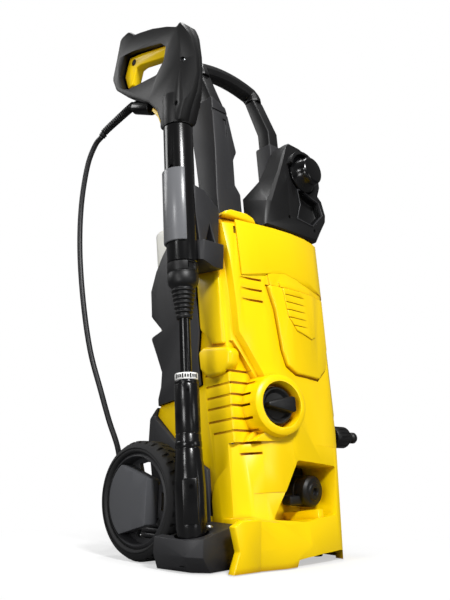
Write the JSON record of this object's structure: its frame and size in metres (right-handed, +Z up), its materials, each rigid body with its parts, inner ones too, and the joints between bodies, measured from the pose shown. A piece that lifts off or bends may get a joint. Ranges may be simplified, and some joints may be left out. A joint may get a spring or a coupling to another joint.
{
  "type": "electric pressure washer",
  "caption": "Upright electric pressure washer on wheels with a leaning moulded body, telescopic handle, detergent unit, trigger gun on a variable spray lance and free hose.",
  "frame": {"origin": "on the floor, under the middle of the machine without its free hose", "axes": "+Z up, the front with the switch faces -Y, +X is the side with the water inlet"},
  "size_m": [0.396, 0.3962, 0.8384],
  "materials": {
    "aluminium": "die-cast aluminium",
    "black_pa": "fine-grained glass-filled polyamide",
    "grey_pp": "dark grey polypropylene with a light grain",
    "hose_pvc": "black hose skin, satin",
    "natural_pe": "translucent natural polyethylene, blow-moulded",
    "tyre_pvc": "soft-touch PVC tread, dull",
    "white_pom": "white acetal ring",
    "yellow_abs": "smooth injection-moulded ABS, satin",
    "zinc_steel": "zinc-plated steel"
  },
  "bodies": {
    "machine": {"accessory_holder": "grey_pp", "axle": "zinc_steel", "barrel_cover": "grey_pp", "bend_relief": "black_pa", "brand_band": "yellow_abs", "chassis": "grey_pp", "dosing_console": "black_pa", "foot_pad_left": "tyre_pvc", "foot_pad_right": "tyre_pvc", "front_cover": "yellow_abs", "gun_barrel": "black_pa", "gun_bracket": "grey_pp", "gun_shell_left": "black_pa", "gun_shell_right": "black_pa", "hose_coil": "hose_pvc", "hose_collar": "black_pa", "hose_connector": "black_pa", "inlet_nipple": "black_pa", "inlet_pipe": "black_pa", "lance_collar": "black_pa", "lance_tube": "black_pa", "left_column": "grey_pp", "motor_can": "zinc_steel", "motor_mount": "zinc_steel", "outlet_fitting": "black_pa", "pressure_hose": "hose_pvc", "pump_head": "aluminium", "rear_cover": "grey_pp", "right_sleeve": "grey_pp", "setting_ring": "white_pom", "switch_box": "black_pa", "tower_cap": "yellow_abs"},
    "left_wheel": {"left_tyre": "tyre_pvc", "left_rim": "grey_pp", "left_hub_plate": "grey_pp"},
    "right_wheel": {"right_tyre": "tyre_pvc", "right_rim": "grey_pp", "right_hub_plate": "grey_pp"},
    "switch": {"switch_knob": "black_pa"},
    "dosing": {"dosing_knob": "black_pa"},
    "handle": {"handle_arm_left": "black_pa", "handle_arm_right": "black_pa", "handle_grip": "black_pa"},
    "trigger": {"trigger": "yellow_abs"},
    "trigger_lock": {"trigger_lock": "black_pa"},
    "release_tab": {"release_tab": "yellow_abs"},
    "nozzle_head": {"nozzle_head": "black_pa"},
    "bottle": {"detergent_bottle": "natural_pe"},
    "bottle_cap": {"bottle_cap": "black_pa"},
    "inlet_nut": {"inlet_nut": "black_pa"},
    "drive_shaft": {"motor_shaft": "zinc_steel", "wobble_disc": "zinc_steel", "cooling_fan": "black_pa"}
  },
  "joints": [
    {"name": "left_wheel_turn", "type": "hinge", "parent": "machine", "child": "left_wheel", "pos_m": [-0.182, 0.03925, 0.084], "axis": [1, 0, 0], "continuous": true},
    {"name": "right_wheel_turn", "type": "hinge", "parent": "machine", "child": "right_wheel", "pos_m": [0.198, 0.03925, 0.084], "axis": [1, 0, 0], "continuous": true},
    {"name": "switch_turn", "type": "hinge", "parent": "machine", "child": "switch", "pos_m": [-0.034, -0.08485, 0.21984], "axis": [-0.2419, -0.9609, 0.135], "range_deg": [-90, 0]},
    {"name": "dosing_turn", "type": "hinge", "parent": "machine", "child": "dosing", "pos_m": [0.088, -0.02807, 0.62387], "axis": [0, -0.9903, 0.1392], "range_deg": [-270, 0]},
    {"name": "handle_slide", "type": "slide", "parent": "machine", "child": "handle", "axis": [0, 0.1392, 0.9903], "range_m": [0, 0.19]},
    {"name": "trigger_squeeze", "type": "hinge", "parent": "machine", "child": "trigger", "pos_m": [-0.17, 0.00458, 0.77943], "axis": [1, 0, 0], "range_deg": [0, 5], "stiffness_Nm_per_rad": 8, "springref_deg": -2.86},
    {"name": "trigger_lock_turn", "type": "hinge", "parent": "trigger", "child": "trigger_lock", "pos_m": [-0.17, 0.09279, 0.78218], "axis": [1, 0, 0], "range_deg": [0, 90]},
    {"name": "release_tab_press", "type": "slide", "parent": "machine", "child": "release_tab", "axis": [0, -0.688, 0.7257], "range_m": [0, 0.0012], "stiffness_N_per_m": 800, "springref_m": -0.001},
    {"name": "nozzle_turn", "type": "hinge", "parent": "machine", "child": "nozzle_head", "pos_m": [-0.17, -0.07275, 0.05], "axis": [0, 0.0993, 0.9951], "range_deg": [0, 270]},
    {"name": "bottle_lift", "type": "slide", "parent": "machine", "child": "bottle", "axis": [0, 0.1392, 0.9903], "range_m": [0, 0.16]},
    {"name": "bottle_cap_turn", "type": "hinge", "parent": "bottle", "child": "bottle_cap", "pos_m": [-0.066, 0.09745, 0.52544], "axis": [0, 0.1392, 0.9903], "range_deg": [-180, 180]},
    {"name": "inlet_nut_turn", "type": "hinge", "parent": "machine", "child": "inlet_nut", "pos_m": [0.126, -0.07798, 0.18252], "axis": [1, 0, 0], "continuous": true},
    {"name": "motor_turn", "type": "hinge", "parent": "machine", "child": "drive_shaft", "pos_m": [0.008, -0.03257, -0.01169], "axis": [0, 0.1392, 0.9903], "continuous": true}
  ]
}
